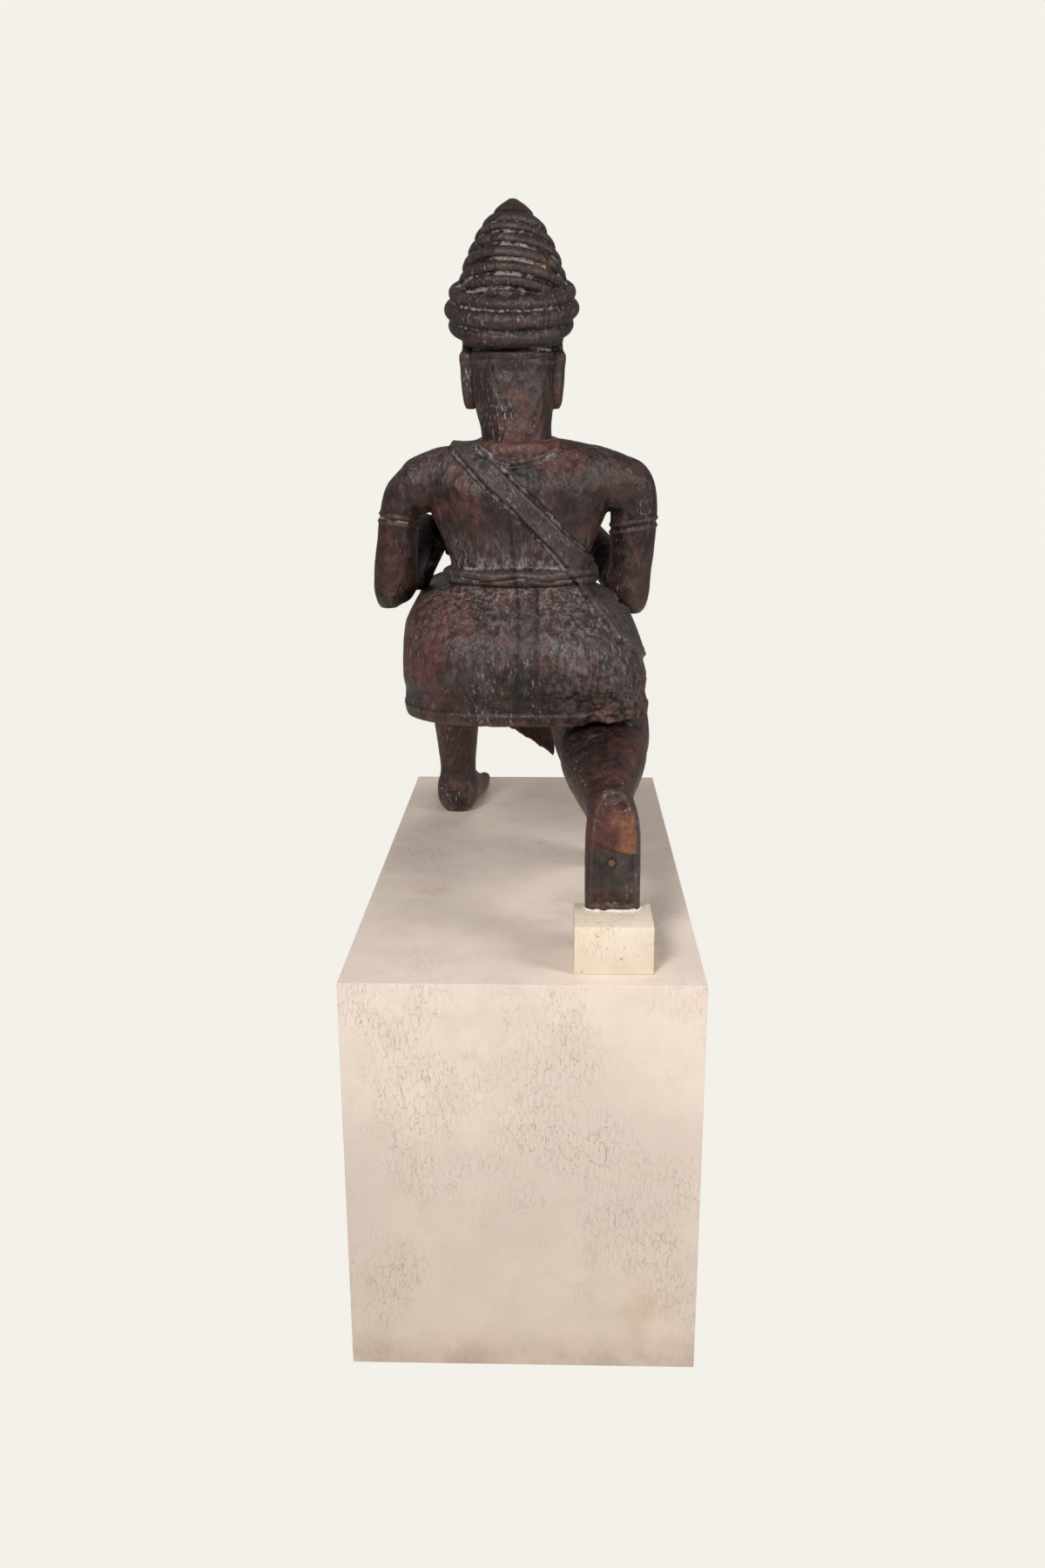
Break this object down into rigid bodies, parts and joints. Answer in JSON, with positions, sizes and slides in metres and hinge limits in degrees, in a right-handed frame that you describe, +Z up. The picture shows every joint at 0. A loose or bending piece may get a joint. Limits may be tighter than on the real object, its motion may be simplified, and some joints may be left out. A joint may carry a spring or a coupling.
{
  "type": "kneeling folk musician figurine",
  "caption": "Carved dark wood musician in a ribbed turban and short tunic, on one knee, playing a straight flared horn, on a hollow painted plinth.",
  "frame": {"origin": "middle of the plinth's underside", "axes": "+Z up, the figure faces -Y, its left side is towards +X"},
  "size_m": [0.478, 1.02, 1.5793],
  "materials": {
    "painted_plinth": "matt cream paint over board, finely crackled and stained",
    "painted_block": "matt cream paint, pitted",
    "dark_wood": "near-black worn patina with traces of old colour and dust in the carving",
    "arm_wood": "near-black worn patina",
    "horn_wood": "near-black worn patina",
    "peg_wood": "bare brown end grain"
  },
  "bodies": {
    "root": {"plinth": "painted_plinth", "foot_block": "painted_block", "figure": "dark_wood", "left_arm": "arm_wood", "right_arm": "arm_wood", "horn": "horn_wood", "sole_peg": "peg_wood"}
  },
  "joints": []
}
